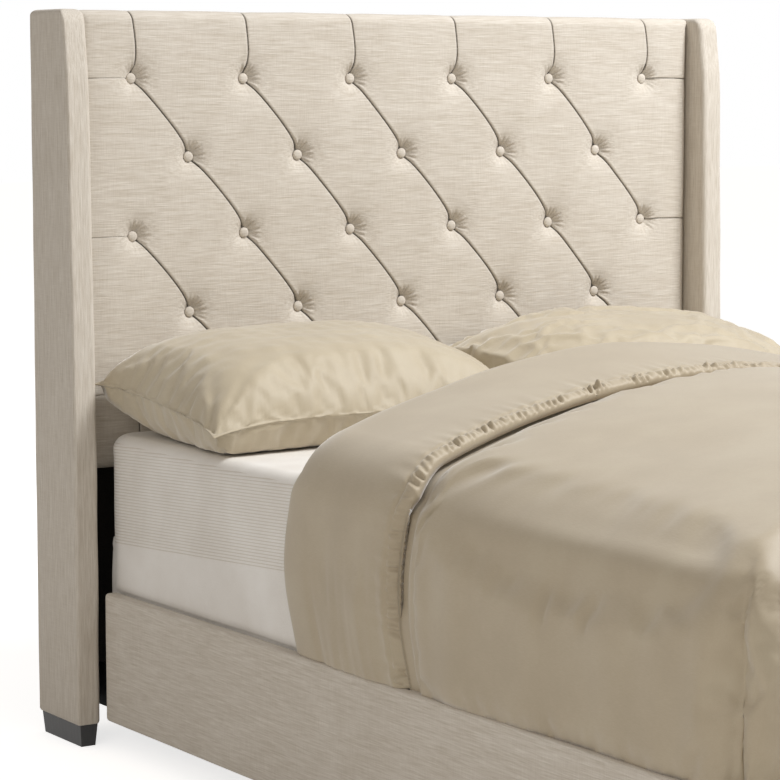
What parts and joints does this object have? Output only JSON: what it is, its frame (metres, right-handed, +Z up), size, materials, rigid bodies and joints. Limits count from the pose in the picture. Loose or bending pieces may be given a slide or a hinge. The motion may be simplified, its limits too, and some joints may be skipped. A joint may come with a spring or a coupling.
{
  "type": "upholstered bed with winged headboard",
  "caption": "Queen size bed with a winged, diamond tufted headboard, upholstered side rails and low footboard, slatted base, foundation, mattress, sheet, pillows and duvet.",
  "frame": {"origin": "on the floor, under the middle of the bed's length and width", "axes": "+X to the right seen from the foot end, +Y towards the head end, +Z up"},
  "size_m": [1.696, 2.224, 1.505],
  "materials": {
    "linen": "oatmeal slub linen weave over foam",
    "button_linen": "covered button in the same slub linen",
    "twine": "waxed tufting twine",
    "black_lining": "black non-woven dust cover",
    "black_wood": "black stained hardwood, satin",
    "frame_wood": "planed softwood",
    "plywood": "birch plywood",
    "slat_wood": "planed pine",
    "zinc_steel": "zinc plated steel",
    "black_steel": "black powder coated steel",
    "glide_plastic": "moulded nylon pad on a steel stem",
    "foundation_cloth": "plain woven cotton",
    "mattress_cloth": "quilted knit ticking",
    "sheet_cotton": "ribbed cotton sheet",
    "pillow_cotton": "cotton sateen, khaki",
    "duvet_cotton": "cotton sateen, khaki"
  },
  "bodies": {
    "bed_frame": {"headboard_left_post": "frame_wood", "headboard_right_post": "frame_wood", "headboard_top_rail": "frame_wood", "headboard_middle_rail": "frame_wood", "headboard_bottom_rail": "frame_wood", "headboard_face_board": "plywood", "tufted_pad": "linen", "tuft_buttons": "button_linen", "tuft_ties": "twine", "back_lining": "black_lining", "lower_dust_cover": "black_lining", "wing_left_core": "frame_wood", "wing_right_core": "frame_wood", "wing_left_cover": "linen", "wing_right_cover": "linen", "wing_bolts": "zinc_steel", "head_foot_left": "black_wood", "head_foot_right": "black_wood", "end_foot_left": "black_wood", "end_foot_right": "black_wood", "foot_screws": "zinc_steel", "rail_left_core": "frame_wood", "rail_right_core": "frame_wood", "rail_left_cover": "linen", "rail_right_cover": "linen", "ledger_left": "frame_wood", "ledger_right": "frame_wood", "ledger_screws": "zinc_steel", "rail_bracket_head_left": "black_steel", "rail_bracket_head_right": "black_steel", "rail_bracket_foot_left": "black_steel", "rail_bracket_foot_right": "black_steel", "frame_bolts": "zinc_steel", "footboard_core": "frame_wood", "footboard_cover": "linen", "centre_beam": "frame_wood", "beam_hanger_head": "black_steel", "beam_hanger_foot": "black_steel", "centre_leg_1": "frame_wood", "centre_leg_2": "frame_wood", "centre_leg_3": "frame_wood", "glide_inserts": "zinc_steel", "leg_bolts": "zinc_steel", "slat_1": "slat_wood", "slat_2": "slat_wood", "slat_3": "slat_wood", "slat_4": "slat_wood", "slat_5": "slat_wood", "slat_6": "slat_wood", "slat_7": "slat_wood", "slat_screws": "zinc_steel"},
    "foundation": {"foundation": "foundation_cloth"},
    "mattress": {"mattress": "mattress_cloth", "fitted_sheet": "sheet_cotton"},
    "duvet": {"duvet": "duvet_cotton"},
    "pillow_left": {"pillow_left": "pillow_cotton"},
    "pillow_right": {"pillow_right": "pillow_cotton"},
    "levelling_glide_1": {"levelling_glide_1": "glide_plastic"},
    "levelling_glide_2": {"levelling_glide_2": "glide_plastic"},
    "levelling_glide_3": {"levelling_glide_3": "glide_plastic"}
  },
  "joints": [
    {"name": "foundation_lift", "type": "slide", "parent": "bed_frame", "child": "foundation", "axis": [0, 0, 1], "range_m": [0, 0.14]},
    {"name": "mattress_lift", "type": "slide", "parent": "foundation", "child": "mattress", "axis": [0, 0, 1], "range_m": [0, 0.25]},
    {"name": "duvet_lift", "type": "slide", "parent": "mattress", "child": "duvet", "axis": [0, 0, 1], "range_m": [0, 0.36]},
    {"name": "pillow_left_lift", "type": "slide", "parent": "mattress", "child": "pillow_left", "axis": [0, 0, 1], "range_m": [0, 0.3]},
    {"name": "pillow_right_lift", "type": "slide", "parent": "mattress", "child": "pillow_right", "axis": [0, 0, 1], "range_m": [0, 0.3]},
    {"name": "glide_1_travel", "type": "slide", "parent": "bed_frame", "child": "levelling_glide_1", "axis": [0, 0, -1], "range_m": [0, 0.012]},
    {"name": "glide_2_travel", "type": "slide", "parent": "bed_frame", "child": "levelling_glide_2", "axis": [0, 0, -1], "range_m": [0, 0.012]},
    {"name": "glide_3_travel", "type": "slide", "parent": "bed_frame", "child": "levelling_glide_3", "axis": [0, 0, -1], "range_m": [0, 0.012]}
  ]
}
